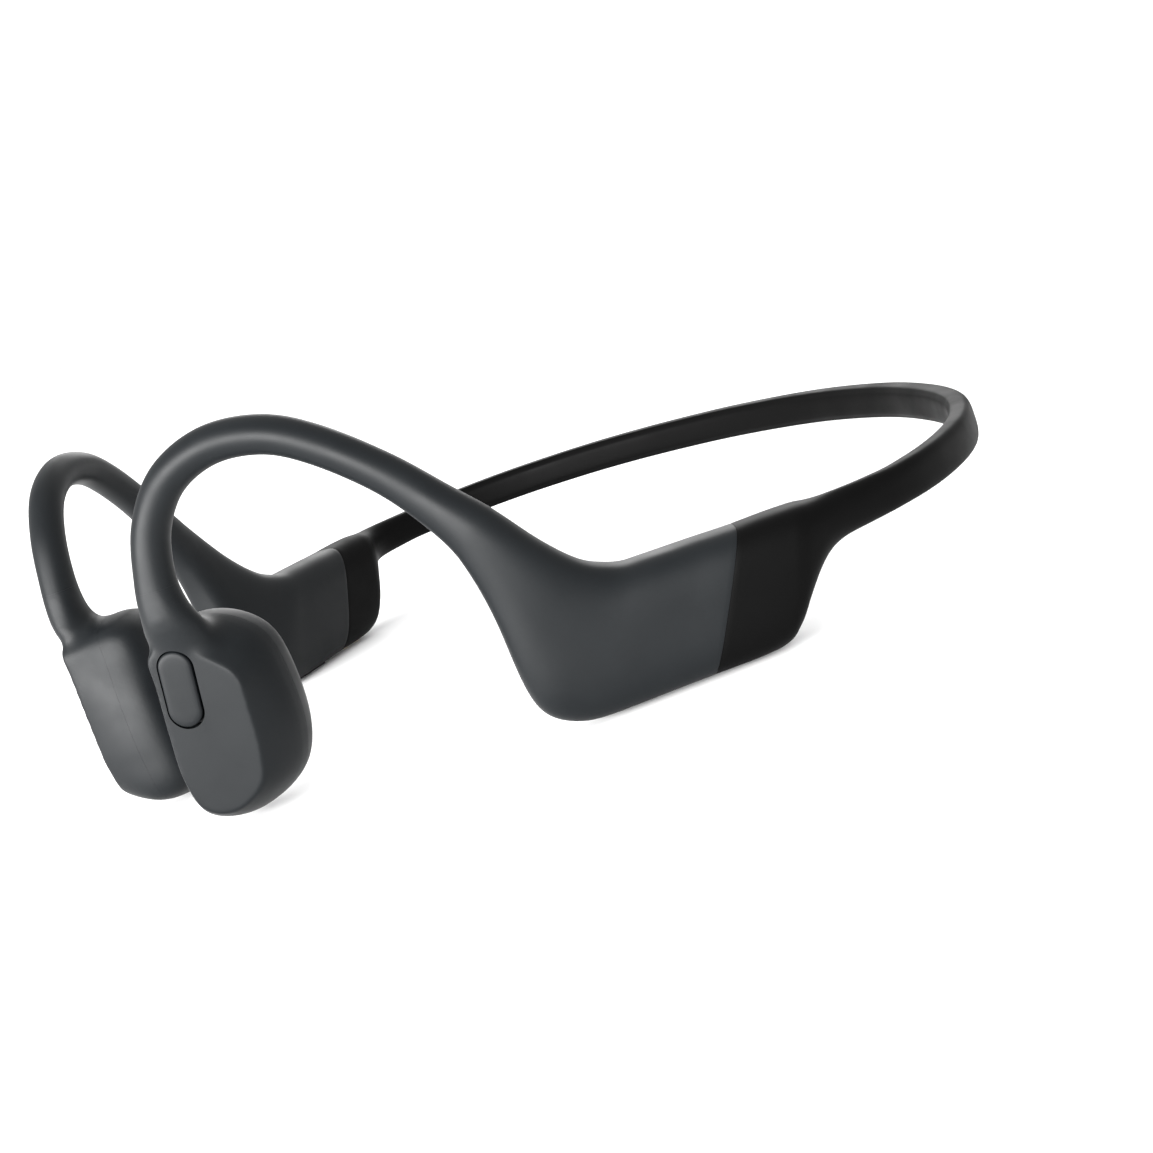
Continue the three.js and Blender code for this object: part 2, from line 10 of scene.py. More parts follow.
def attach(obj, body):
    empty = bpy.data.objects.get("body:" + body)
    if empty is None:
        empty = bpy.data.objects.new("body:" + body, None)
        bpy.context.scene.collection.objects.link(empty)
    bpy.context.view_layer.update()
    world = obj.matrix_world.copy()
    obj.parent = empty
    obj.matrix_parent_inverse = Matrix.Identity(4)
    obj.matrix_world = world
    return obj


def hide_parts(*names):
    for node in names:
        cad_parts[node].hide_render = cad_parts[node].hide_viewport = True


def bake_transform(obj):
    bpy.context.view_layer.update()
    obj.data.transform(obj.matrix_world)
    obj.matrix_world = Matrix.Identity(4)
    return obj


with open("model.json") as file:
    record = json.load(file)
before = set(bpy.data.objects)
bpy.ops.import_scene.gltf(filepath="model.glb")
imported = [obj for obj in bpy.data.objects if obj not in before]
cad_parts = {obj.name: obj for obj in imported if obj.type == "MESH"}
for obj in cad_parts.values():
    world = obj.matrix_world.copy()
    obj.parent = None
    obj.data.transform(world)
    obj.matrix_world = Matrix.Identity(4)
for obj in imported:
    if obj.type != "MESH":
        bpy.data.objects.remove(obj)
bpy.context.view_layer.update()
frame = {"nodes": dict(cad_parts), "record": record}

MM = 0.001
BODIES = {1: "left_side", -1: "right_side"}
WORDS = {1: "left", -1: "right"}

# ---- the part's dimensions, in millimetres: the CAD source's, with finer edges, gaps and neck ----
TO_MIDDLE_Y = 12.3       # shift of the drawn rows to the middle of the bounding box
WALL = 1.1
FLOOR_WALL = WALL * 0.7
HOOK_RADIUS = 2.05
POD_HALF_THICK = 4.2
POD_FOOT_Z = 0.5
BAND_HALF_HEIGHT = 2.15
BAND_HALF_THICK = 1.4
ROUND_POWER = 2          # power of a round section; a higher one is squarer
POD_POWER = 1.3          # what the thickest pod section adds to it
BAND_POWER = 1.6         # and what the band adds
BAND_CHAMFER = 0.42
BAND_EASE = 1.5          # rows over which the band takes on its power and chamfer
# [x, y, z, heading, lean, half height, half thickness] along one side, from the transducer back.
SIDE_STATIONS = [
    [16.8, -61.1, 24.6, 45, -92, 2.95, 2.3],
    [16.9, -60.8, 28.4, 45, -84, 2.25, 2.1],
    [18.1, -59.4, 33.7, 45, -60, 2.05, 2.05],
    [20.9, -56.8, 37.9, 45, -33, 2.05, 2.05],
    [25.0, -53.0, 39.8, 45, -6, 2.05, 2.05],
    [29.2, -48.9, 39.1, 45, 18, 2.05, 2.05],
    [32.7, -45.4, 36.4, 45, 34, 2.05, 2.05],
    [36.6, -41.4, 31.5, 44, 46, 2.1, 2.05],
    [39.5, -38.5, 26.6, 42, 51, 2.4, 2.2],
    [41.3, -36.4, 22.4, 38, 51, 3.1, 2.5],
    [42.0, -34.5, 17.0, 33, 49, 4.5, 3.1],
    [42.2, -32.8, 11.8, 29, 46, 6.7, 3.7],
    [42.7, -31.1, 9.0, 27, 43, 8.2, 4.0],
    [43.6, -28.8, 7.6, 27, 36, 8.4, 4.2],
    [45.0, -26.0, 7.3, 27, 29, 8.0, 4.2],
    [47.2, -21.6, 7.2, 27, 29, 7.9, 4.2],
    [49.5, -17.2, 7.1, 27, 28, 7.7, 4.2],
    [52.1, -11.8, 7.1, 26, 19, 7.1, 4.1],
    [53.1, -9.7, 7.8, 25, 18, 6.2, 3.9],
    [54.1, -7.6, 9.5, 22, 19, 4.15, 3.1],
    [55.1, -5.4, 10.9, 16, 14, 2.6, 2.0],
    [56.0, -2.6, 11.0, 5, 0, 2.35, 1.5],
]
HOOK_POD_JOIN = 11       # this and the next three are row numbers of the table above
SEAM = 16
POD_REAR = 17.8
NECK = len(SIDE_STATIONS) - 1
BAND_POINTS = [
    [56.0, -2.6, 11.0],
    [56.4, 3.0, 11.0],
    [55.0, 9.5, 11.0],
    [51.5, 16.5, 11.0],
    [46.5, 22.5, 11.0],
    [39.0, 28.5, 11.0],
    [29.0, 33.5, 11.0],
    [16.0, 37.5, 11.0],
    [0.0, 39.2, 11.0],
]
TIP = len(BAND_POINTS) - 1
BAND_ROWS = BAND_POINTS + [[-x, y, z] for x, y, z in BAND_POINTS[-2::-1]]

TRANSDUCER_AT = Vector((17.1, -61.6, 12.4))
TRANSDUCER_YAW = 45
TRANSDUCER_TILT = 3.2
SEAM_DEPTH = 5.6
TRANSDUCER_DEPTH = 10.4
ROUND_FROM = 6.6
ROUND_INSET = 3.0
FLARE = 1.6              # power of the flare from the face's outline to the body's
FACE_OUTLINE = [
    (-3.2, 8.8), (0.2, 8.8), (3.2, 6.6), (5.2, 3.9), (4.9, 0), (4.1, -4.8),
    (2.6, -8.2), (-1.3, -10.0), (-4.5, -8.8), (-5.3, -5), (-4.7, 0), (-3.9, 5),
]
BODY_OUTLINE = [
    (-3.7, 9.2), (0.5, 10.3), (4.5, 9.3), (7.5, 6.5), (8.3, 2.2), (7.7, -4.6),
    (5.0, -9.6), (-1.0, -12.1), (-6.3, -10.8), (-7.0, -5.4), (-6.3, 0), (-4.9, 5.6),
]
# [x, depth, z, half height, half thickness] up the neck, placed from the hook's own lower end.
NECK_ROWS = [
    [0.4, 2.0, -7.4, 3.6, 1.8],
    [0.3, 1.4, -5.4, 3.7, 2.4],
    [0.1, 0.6, -2.4, 3.4, 2.4],
]
BUTTON_AT = (-1.25, 4.5)
BUTTON_HALF = (4.25, 1.9)
BUTTON_LEAN = 11
BUTTON_SLOT = 0.17
BUTTON_SLOT_DEPTHS = (-2, 2.6)
BUTTON_SHIFT = Vector((-0.08, 0, 0.03))
# [depth, widening] from the button's outer face to its foot.
BUTTON_PROFILE = [
    (-0.17, -1.3), (-0.16, -0.7), (-0.13, -0.32), (-0.06, -0.13), (0.06, -0.03), (0.2, 0),
    (1.4, 0), (1.4, 0.12), (1.65, 0.12),
]
POD_HEADING = 27
POD_AT = (46.9, -22.2)
KEY_LENGTH = 4.8
KEY_HALF_WIDTH = 0.9
KEY_AT = (-8.0, -2.9)
KEY_SLOT_HEIGHT = 2.8
KEY_SLOT_Z = 0.4
KEY_EDGE = 0.2
HOLE_GAP = 0.25
CONTACT_GAP = 0.1
MICROPHONE = (-3.0, 0.5)
CONTACTS = ((5.2, 0.8), (8.0, 0.8))
LIGHT = (3.2, 0.4)
WIRE_RADIUS, WIRE_LIFT = 0.4, 0.6
LEAD_RADIUS, LEAD_LIFT = 0.35, -0.6

# ---- fineness of the visible surface ----
SIDES = 56               # points round a hook, pod or band section
OUTLINE_SIDES = 112      # points round a transducer
PILL_SIDES = 64
DRILL_SIDES = 24
STRAND_SIDES = 12
HOOK_STEP = 0.11         # steps between rings, in rows of their table
NECK_STEP = 0.12
POD_STEP = 0.09
BAND_STEP = 0.07
NECK_ROW_STEP = 0.2      # the same for the neck inside the housing
STRAND_STEP = 0.12
STRAND_START = 0.1
HOOK_HOLLOW_STEP = 0.4
BAND_HOLLOW_STEP = 0.3
BAND_START = 0.05        # rows from the pod's last ring, and on to the band's first
AHEAD = 0.05             # rows each way that give the band its direction
TRIM_SPARE = 0.2         # rows that the neck runs on past the seam, where it is trimmed
SHARP = 38               # edges above this many degrees stay sharp
TRANSDUCER_SHARP = 50
STRAND_SHARP = 60
VOXEL = 0.24             # the housing and its neck are fused at this size
FILLET_PASSES = 150      # smoothing where the neck runs into the housing
# Ramps of that smoothing, each a start and a width: above the housing's middle, below the hook's seam,
# behind the flat face, up the neck, and where the neck also evens out inwards.
FILLET_ABOVE = (4.5, 2)
FILLET_BELOW_SEAM = (0.4, 3)
FILLET_BEHIND_FACE = (0.2, 0.6)
FILLET_UP_NECK = (7.2, 2)
NECK_INWARDS = (11, 2)
OUTWARD_STEP, SIDEWAYS_STEP = 0.9, 0.4
NECK_SHARE = 0.3         # share of that smoothing which also moves points inwards, on the neck
SURFACE_PASSES = 4       # smoothing of the whole fused body
PART_GAP = 0.008         # half the hairline between two mouldings
HOOK_SEAM = 0.85         # row where housing and hook meet; the CAD's seam is lower down the neck
COVER_EDGE = 0.03        # softened edge of the pods' covers
COVER_GAP = 0.004        # half the hairline between the pods' covers, in rows
COVER_STEP = 0.04        # rows from the covers' seam to the first full ring
OVERCUT = 0.4            # how far a hollow runs on past the seam, in rows
BEND = (9.0, 15.2)       # rows of the bend from hook to pod
BEND_PASSES = 10         # evening out of that bend
NECK_FROM = 18.6         # row where the neck from pod to band begins
NECK_BAND_RINGS = 12     # rings of the band that are evened out with it
NECK_PASSES = 50         # evening out of that neck
RING_RELAX = 14          # passes that even out a transducer ring, for each millimetre it is moved in
BODY_DEPTHS = [
    0, 0.12, 0.3, 0.6, 1.0, 1.5, 2.1, 2.8, 3.6, 4.4, SEAM_DEPTH, 6.1, ROUND_FROM, 7.2, 7.8,
    8.4, 8.9, 9.3, 9.65, 9.9, 10.1, 10.25, 10.34, TRANSDUCER_DEPTH,
]
CAVITY_DEPTHS = [WALL, 2.0, 3.6, SEAM_DEPTH, 7.0, 8.2, TRANSDUCER_DEPTH - WALL]
OUTSIDE = 20             # a depth beyond the transducer, either way
WIDE = 30                # half of a square larger than the transducer
MERGE = 1e-7             # vertices this close, in metres, are one


# ---- meshes ----
def turns(count, shift=0):
    """Angles all the way round."""
    return [2 * math.pi * (i + shift) / count for i in range(count)]


def smooth_object(name, vertices, faces, material=None, sharp=SHARP):
    """A closed mesh, given in millimetres, as an object shaded smooth up to the sharp angle."""
    mesh = bpy.data.meshes.new(name)
    mesh.from_pydata([Vector(v) * MM for v in vertices], [], faces)
    return finish_mesh(name, mesh, material, sharp)


def finish_mesh(name, mesh, material, sharp=SHARP):
    """A mesh in metres as an object, its normals outwards and its doubles merged."""
    shape = bmesh.new()
    shape.from_mesh(mesh)
    bmesh.ops.remove_doubles(shape, verts=shape.verts, dist=MERGE)
    bmesh.ops.recalc_face_normals(shape, faces=shape.faces)
    shape.to_mesh(mesh)
    shape.free()
    mesh.polygons.foreach_set("use_smooth", [True] * len(mesh.polygons))
    mesh.set_sharp_from_angle(angle=math.radians(sharp))
    mesh.materials.clear()
    if material:
        mesh.materials.append(material)
    piece = bpy.data.objects.new(name, mesh)
    bpy.context.scene.collection.objects.link(piece)
    return piece


def skin(rings):
    """Vertices and faces of a closed stack of rings that all have the same number of points."""
    sides = len(rings[0])
    vertices = [p for r in rings for p in r]
    faces = []
    for r in range(len(rings) - 1):
        for i in range(sides):
            j = (i + 1) % sides
            faces.append((r * sides + i, r * sides + j, (r + 1) * sides + j, (r + 1) * sides + i))
    for ring_points, first in ((rings[0], 0), (rings[-1], (len(rings) - 1) * sides)):
        vertices.append(sum(ring_points, Vector()) / sides)
        middle = len(vertices) - 1
        faces += [(middle, first + i, first + (i + 1) % sides) for i in range(sides)]
    return vertices, faces


def remove(piece):
    mesh = piece.data
    bpy.data.objects.remove(piece)
    bpy.data.meshes.remove(mesh)


def evaluated_copy(piece):
    """The piece's mesh with its modifiers applied."""
    bpy.context.view_layer.update()
    graph = bpy.context.evaluated_depsgraph_get()
    return bpy.data.meshes.new_from_object(piece.evaluated_get(graph))


def carve(piece, cutters, name, material):
    """Cut closed objects out of a piece, and return the result in its place."""
    for cutter in cutters:
        modifier = piece.modifiers.new("cut", "BOOLEAN")
        modifier.operation = "DIFFERENCE"
        modifier.solver = "EXACT"
        modifier.object = cutter
    mesh = evaluated_copy(piece)
    for unused in [piece, *cutters]:
        remove(unused)
    return finish_mesh(name, mesh, material)


# ---- sections along a side and along the band ----
def along(rows, at):
    """Catmull-Rom value through evenly spaced rows, at a fractional row number."""
    i = min(int(at), len(rows) - 2)
    t = at - i
    p, q, r, s = (rows[max(0, min(len(rows) - 1, k))] for k in (i - 1, i, i + 1, i + 2))
    return [0.5 * (2 * b + (c - a) * t + (2 * a - 5 * b + 4 * c - d) * t * t
                   + (3 * b - a - 3 * c + d) * t ** 3) for a, b, c, d in zip(p, q, r, s)]


def side_section(at):
    """Section of a hook or pod at a row of SIDE_STATIONS."""
    x, y, z, heading, lean, half, thick = along(SIDE_STATIONS, at)
    turn, tip = math.radians(heading), math.radians(lean)
    forward = Vector((math.sin(turn), math.cos(turn), 0))
    out = Vector((math.cos(turn), -math.sin(turn), 0))
    up = Vector((0, 0, math.cos(tip))) + forward * math.sin(tip)
    squareness = max(0, min(1, (thick - HOOK_RADIUS) / (POD_HALF_THICK - HOOK_RADIUS)))
    return {"middle": Vector((x, y + TO_MIDDLE_Y, z)), "out": out, "up": up, "half": half, "thick": thick,
            "power": ROUND_POWER + POD_POWER * squareness, "chamfer": 0}


def band_section(at):
    """Section of the band at a row of BAND_ROWS."""
    x, y, z = along(BAND_ROWS, at)
    x1, y1, _ = along(BAND_ROWS, max(0, at - AHEAD))
    x2, y2, _ = along(BAND_ROWS, min(2 * TIP, at + AHEAD))
    out = Vector((y2 - y1, x1 - x2, 0)).normalized()
    slim = min(1, at)
    edged = min(1, at / BAND_EASE)
    half, thick = SIDE_STATIONS[-1][5:]
    return {"middle": Vector((x, y + TO_MIDDLE_Y, z)), "out": out, "up": Vector((0, 0, 1)),
            "half": half + (BAND_HALF_HEIGHT - half) * slim,
            "thick": thick + (BAND_HALF_THICK - thick) * slim,
            "power": ROUND_POWER + BAND_POWER * edged, "chamfer": BAND_CHAMFER * edged}


def spread(value, power):
    """Coordinate on a superellipse, for a sine or cosine."""
    return math.copysign(abs(value) ** (2 / power), value)


def ring(section, shrink=0):
    """Points round a section. A chamfer takes that share off its two inner corners."""
    points = []
    for angle in turns(SIDES, 0.5):
        u = spread(math.cos(angle), section["power"])
        v = spread(math.sin(angle), section["power"])
        reach = -u + abs(v)
        if u < 0 and section["chamfer"] and reach > 2 - section["chamfer"]:
            u *= (2 - section["chamfer"]) / reach
            v *= (2 - section["chamfer"]) / reach
        point = (section["middle"] + section["out"] * u * (section["thick"] - shrink)
                 + section["up"] * v * (section["half"] - shrink))
        point.z = max(point.z, POD_FOOT_Z)
        points.append(point)
    return points


def stations(first, last, step):
    """Evenly spaced places from first to last, about a step apart."""
    count = max(2, round((last - first) / step))
    return [first + (last - first) * i / count for i in range(count + 1)]


def relaxed(rings, first, last, passes):
    """Even out the rings from first to last along the loft, so that the moulding flows."""
    rings = list(rings)
    for _ in range(passes):
        rings[first:last] = [[(a + b * 2 + c) / 4 for a, b, c in zip(rings[i - 1], rings[i], rings[i + 1])]
                             for i in range(first, last)]
    return rings


def loft(name, rings, side, material=None, sharp=SHARP):
    """A closed object over rings drawn for the left side, on its own side."""
    rings = [[Vector((side * p.x, p.y, p.z)) for p in r] for r in rings]
    return smooth_object(name, *skin(rings), material, sharp)


def hollow_cutter(first, last, step, side):
    """The inside of a pod, between two rows, as a cutter."""
    rings = [ring(side_section(a), WALL) for a in stations(first, last, step)]
    rings = [[Vector((p.x, p.y, max(p.z, POD_FOOT_Z + FLOOR_WALL))) for p in r] for r in rings]
    return loft("cutter", rings, side)


def pod_frame(side):
    spin = Matrix.Rotation(math.radians(-side * POD_HEADING), 4, "Z")
    return Matrix.Translation(Vector((side * POD_AT[0], POD_AT[1] + TO_MIDDLE_Y, 0))) @ spin


def block(sizes, middle, side):
    """A box in the pod's frame, its heights measured from the ground."""
    half = Vector(sizes) / 2
    corners = [pod_frame(side) @ (Vector(middle) + Vector((half.x * i, half.y * j, half.z * k)))
               for i in (-1, 1) for j in (-1, 1) for k in (-1, 1)]
    faces = [(0, 1, 3, 2), (4, 6, 7, 5), (0, 4, 5, 1), (2, 3, 7, 6), (0, 2, 6, 4), (1, 5, 7, 3)]
    return smooth_object("cutter", corners, faces)


def drill(at, radius, side, low=-1, high=2.2):
    """A round cutter up into the pod, at a place along it."""
    rings = [[pod_frame(side) @ Vector((radius * math.cos(a), at + radius * math.sin(a), z))
              for a in turns(DRILL_SIDES)] for z in (low, high)]
    return smooth_object("cutter", *skin(rings))


# ---- transducers, in their own frame: X runs back, Y into the head and Z up ----
def transducer_frame(side):
    turn = Matrix.Rotation(math.radians(side * TRANSDUCER_YAW), 4, "Z")
    tilt = Matrix.Rotation(math.radians(TRANSDUCER_TILT), 4, "X")
    place = Vector((side * TRANSDUCER_AT.x, TRANSDUCER_AT.y + TO_MIDDLE_Y, TRANSDUCER_AT.z))
    return Matrix.Translation(place) @ turn @ tilt


def closed_point(outline, share):
    """Point of the closed Catmull-Rom curve through an outline, at a share of its rows."""
    count = len(outline)
    at = share * count
    i = int(at)
    rows = [outline[(i + k) % count] for k in (-1, 0, 1, 2)]
    return along(rows, 1 + at - i)


def outline_ring(depth, inset=0):
    """Outline of the transducer at a depth below its face, moved inwards by inset."""
    sides = OUTLINE_SIDES
    share = 1 - (1 - min(1, max(0, depth) / SEAM_DEPTH)) ** FLARE
    bend = max(0, (depth - ROUND_FROM) / (TRANSDUCER_DEPTH - ROUND_FROM))
    rounding = ROUND_INSET * (1 - math.sqrt(1 - min(1, bend) ** 2))
    flat = []
    for i in range(sides):
        x, z = (a + (b - a) * share for a, b in zip(closed_point(FACE_OUTLINE, i / sides),
                                                    closed_point(BODY_OUTLINE, i / sides)))
        flat.append(Vector((x, 0, z)))
    points = []
    for i, p in enumerate(flat):
        way = (flat[(i + 1) % sides] - flat[i - 1]).normalized()
        points.append(Vector((p.x + (inset + rounding) * way.z, depth, p.z - (inset + rounding) * way.x)))
    for _ in range(round(RING_RELAX * rounding)):
        points = [(points[i - 1] + p * 2 + points[(i + 1) % sides]) / 4 for i, p in enumerate(points)]
    return points


def pill_ring(depth, extra):
    """Outline of the button at a depth, widened by extra."""
    half_length, radius = BUTTON_HALF
    lean = math.radians(BUTTON_LEAN)
    points = []
    for angle in turns(PILL_SIDES, 0.5):
        across = (radius + extra) * math.sin(angle)
        lengthways = (radius + extra) * math.cos(angle)
        lengthways += math.copysign(half_length - radius, math.cos(angle))
        points.append(Vector((BUTTON_AT[0] + across * math.cos(lean) + lengthways * math.sin(lean), depth,
                              BUTTON_AT[1] - across * math.sin(lean) + lengthways * math.cos(lean))))
    return points


def placed(piece, side):
    """Move a transducer piece, made in the left one's frame in metres, to its side."""
    to_metres = Matrix.Diagonal((MM, MM, MM, 1))
    to_millimetres = Matrix.Diagonal((1 / MM, 1 / MM, 1 / MM, 1))
    left = to_metres @ transducer_frame(1) @ to_millimetres
    mirror = Matrix.Diagonal((side, 1, 1, 1))
    piece.data.transform(mirror @ left)
    if side < 0:
        piece.data.flip_normals()
    return piece


def neck_rings():
    """Rings of the neck, from inside the housing up into the hook's own lower end."""
    inside = transducer_frame(1).inverted()
    seam = side_section(0)
    middle = inside @ seam["middle"]
    out = (inside.to_3x3() @ seam["out"]).normalized()
    up = (inside.to_3x3() @ seam["up"]).normalized()
    rows = [*NECK_ROWS, [0.0, 0.0, 0.0, seam["half"], seam["thick"]]]
    rings = []
    for at in stations(0, len(NECK_ROWS), NECK_ROW_STEP):
        x, depth, z, half, thick = along(rows, at)
        rings.append([middle + Vector((x, depth, z))
                      + out * thick * math.cos(a) + up * half * math.sin(a)
                      for a in turns(SIDES, 0.5)])
    for at in stations(NECK_STEP, HOOK_SEAM + TRIM_SPARE, NECK_STEP):
        rings.append([inside @ p for p in ring(side_section(at))])
    return rings


def ramp(values, start, width):
    """From 0 to 1 over a width after start, both in millimetres, for values in metres."""
    return np.clip((values - start * MM) / (width * MM), 0, 1)


def summed(index, values, count):
    """For each of count vertices, the sum of the values whose index it is."""
    return np.stack([np.bincount(index, weights=values[:, axis], minlength=count)
                     for axis in range(3)], axis=1)


def fill_hollows(shape, seam_height):
    """Fill the hollow where the neck runs into the housing, as a moulded fillet does. Points of the housing
    only move outwards, so its own round and flat faces keep their shape; the neck also evens out inwards."""
    shape.verts.ensure_lookup_table()
    co = np.array([v.co for v in shape.verts])
    edges = np.array([[e.verts[0].index, e.verts[1].index] for e in shape.edges])
    faces = np.array([[v.index for v in f.verts[:4]] for f in shape.faces if len(f.verts) == 4])
    count = np.bincount(edges.ravel(), minlength=len(co))[:, None]
    depth, height = co[:, 1], co[:, 2]
    share = ramp(height, *FILLET_ABOVE) * ramp(seam_height - height, *FILLET_BELOW_SEAM)
    share = (share * np.maximum(ramp(depth, *FILLET_BEHIND_FACE), ramp(height, *FILLET_UP_NECK)))[:, None]
    neck = ramp(height, *NECK_INWARDS)[:, None] * NECK_SHARE
    for _ in range(FILLET_PASSES):
        pull = sum(summed(edges[:, a], co[edges[:, b]], len(co)) for a, b in ((0, 1), (1, 0))) / count - co
        across = np.cross(co[faces[:, 2]] - co[faces[:, 0]], co[faces[:, 3]] - co[faces[:, 1]])
        normal = sum(summed(faces[:, corner], across, len(co)) for corner in range(4))
        normal /= np.linalg.norm(normal, axis=1)[:, None] + 1e-20
        along_normal = (pull * normal).sum(1)[:, None]
        outward = np.clip(along_normal, 0, None) * (1 - neck) + along_normal * neck
        co += share * (outward * normal * OUTWARD_STEP + (pull - along_normal * normal) * SIDEWAYS_STEP)
    for v, place in zip(shape.verts, co):
        v.co = place


def wide_ring(depth):
    """A square at a depth, larger than the transducer."""
    return [Vector((x * WIDE, depth, z * WIDE)) for x, z in ((-1, -1), (1, -1), (1, 1), (-1, 1))]


def transducer_body():
    """The left transducer and its neck as one solid in its own frame, trimmed where the hook begins."""
    vertices, faces = skin([outline_ring(d) for d in BODY_DEPTHS])
    neck_vertices, neck_faces = skin(neck_rings())
    first = len(vertices)
    faces += [tuple(first + i for i in f) for f in neck_faces]
    rough = smooth_object("rough", vertices + neck_vertices, faces)
    fuse = rough.modifiers.new("fuse", "REMESH")
    fuse.mode = "VOXEL"
    fuse.voxel_size = VOXEL * MM
    mesh = evaluated_copy(rough)
    remove(rough)
    shape = bmesh.new()
    shape.from_mesh(mesh)
    inside = transducer_frame(1).inverted()
    section = side_section(HOOK_SEAM)
    seam = inside @ section["middle"]
    fill_hollows(shape, seam.z * MM)
    for _ in range(SURFACE_PASSES):
        bmesh.ops.smooth_vert(shape, verts=shape.verts, factor=0.5,
                              use_axis_x=True, use_axis_y=True, use_axis_z=True)
    along_hook = (inside.to_3x3() @ section["out"].cross(section["up"])).normalized()
    if along_hook.z < 0:
        along_hook.negate()
    cut = bmesh.ops.bisect_plane(shape, geom=shape.verts[:] + shape.edges[:] + shape.faces[:],
                                 plane_co=(seam - along_hook * PART_GAP) * MM, plane_no=along_hook,
                                 clear_outer=True)
    rim = [g for g in cut["geom_cut"] if isinstance(g, bmesh.types.BMEdge)]
    bmesh.ops.holes_fill(shape, edges=rim, sides=0)
    shape.to_mesh(mesh)
    shape.free()
    return mesh


def transducer_shell(mesh, name, away, side, material, more=()):
    """One shell of a transducer: its body less its cavity and what lies between the two depths of away."""
    cavity = [outline_ring(depth, WALL) for depth in CAVITY_DEPTHS]
    stacks = [cavity, [wide_ring(depth) for depth in away], *more]
    cutters = [smooth_object("cutter", *skin(rings)) for rings in stacks]
    body = finish_mesh(name, mesh.copy(), material, TRANSDUCER_SHARP)
    return placed(carve(body, cutters, name, material), side)


def housing(mesh, side, material):
    slot = [[pill_ring(depth, BUTTON_SLOT) for depth in BUTTON_SLOT_DEPTHS]] if side > 0 else []
    name = WORDS[side] + "_transducer_housing_moulding"
    return transducer_shell(mesh, name, (SEAM_DEPTH - PART_GAP, OUTSIDE), side, material, slot)


def contact_shell(mesh, side, material):
    name = WORDS[side] + "_contact_shell_moulding"
    return transducer_shell(mesh, name, (-OUTSIDE, SEAM_DEPTH + PART_GAP), side, material)


def button(material):
    rings = [[p + BUTTON_SHIFT for p in pill_ring(depth, extra)] for depth, extra in BUTTON_PROFILE]
    cap = smooth_object("multifunction_button_cap", *skin(rings), material, TRANSDUCER_SHARP)
    return placed(cap, 1)


# ---- mouldings of the hooks, pods and band ----
def hook_cover(side, material):
    """The round hook and the front half of its pod, which are one moulding."""
    at = stations(HOOK_SEAM, HOOK_POD_JOIN, HOOK_STEP)
    at += stations(HOOK_POD_JOIN, SEAM - COVER_STEP, POD_STEP)[1:]
    bend = [i for i, a in enumerate(at) if BEND[0] < a < BEND[1]]
    rings = relaxed([ring(side_section(a)) for a in at], bend[0], bend[-1], BEND_PASSES)
    rings.append(ring(side_section(SEAM - COVER_GAP), COVER_EDGE))
    outside = loft("outside", rings, side)
    cutters = [hollow_cutter(HOOK_POD_JOIN, SEAM + OVERCUT, HOOK_HOLLOW_STEP, side)]
    if side > 0:
        cutters.append(drill(MICROPHONE[0], MICROPHONE[1] + HOLE_GAP, side))
    else:
        span = KEY_AT[1] - KEY_AT[0] + KEY_LENGTH
        sizes = (2 * (KEY_HALF_WIDTH + HOLE_GAP), span + 2 * HOLE_GAP, KEY_SLOT_HEIGHT)
        cutters.append(block(sizes, (0, sum(KEY_AT) / 2, KEY_SLOT_Z), side))
    return carve(outside, cutters, WORDS[side] + "_hook_moulding", material)


def band_half(side, material):
    """The rear cover, its arm and half of the band's middle, which are one soft moulding."""
    at = stations(SEAM + COVER_STEP, NECK - BAND_START, POD_STEP)
    rings = [ring(side_section(SEAM + COVER_GAP), COVER_EDGE)]
    rings += [ring(side_section(a)) for a in at]
    rings += [ring(band_section(a)) for a in stations(BAND_START, TIP, BAND_STEP)]
    neck = [i for i, a in enumerate(at) if a > NECK_FROM]
    rings = relaxed(rings, neck[0], neck[-1] + NECK_BAND_RINGS, NECK_PASSES)
    outside = loft("outside", rings, side)
    cutters = [hollow_cutter(SEAM - OVERCUT, POD_REAR, BAND_HOLLOW_STEP, side)]
    if side < 0:
        cutters += [drill(at, radius + CONTACT_GAP, side) for at, radius in (*CONTACTS, LIGHT)]
    return carve(outside, cutters, WORDS[side] + "_band_moulding", material)


def band_strand(side, name, radius, lift, material):
    """Half of a wire or lead inside the band."""
    rings = []
    for section in [band_section(a) for a in stations(STRAND_START, TIP, STRAND_STEP)]:
        middle = section["middle"] + Vector((0, 0, lift))
        rings.append([middle + section["out"] * radius * math.cos(a) + Vector((0, 0, radius * math.sin(a)))
                      for a in turns(STRAND_SIDES)])
    return loft(name, rings, side, material, STRAND_SHARP)


# ---- materials ----
ROUGHNESS_SPREAD = 0.06


def noise(tree, place, size, detail):
    """A noise texture in the piece's own coordinates, with features of a size in millimetres."""
    texture = tree.nodes.new("ShaderNodeTexNoise")
    texture.inputs["Scale"].default_value = 1 / (size * MM)
    texture.inputs["Detail"].default_value = detail
    tree.links.new(place.outputs["Object"], texture.inputs["Vector"])
    return texture


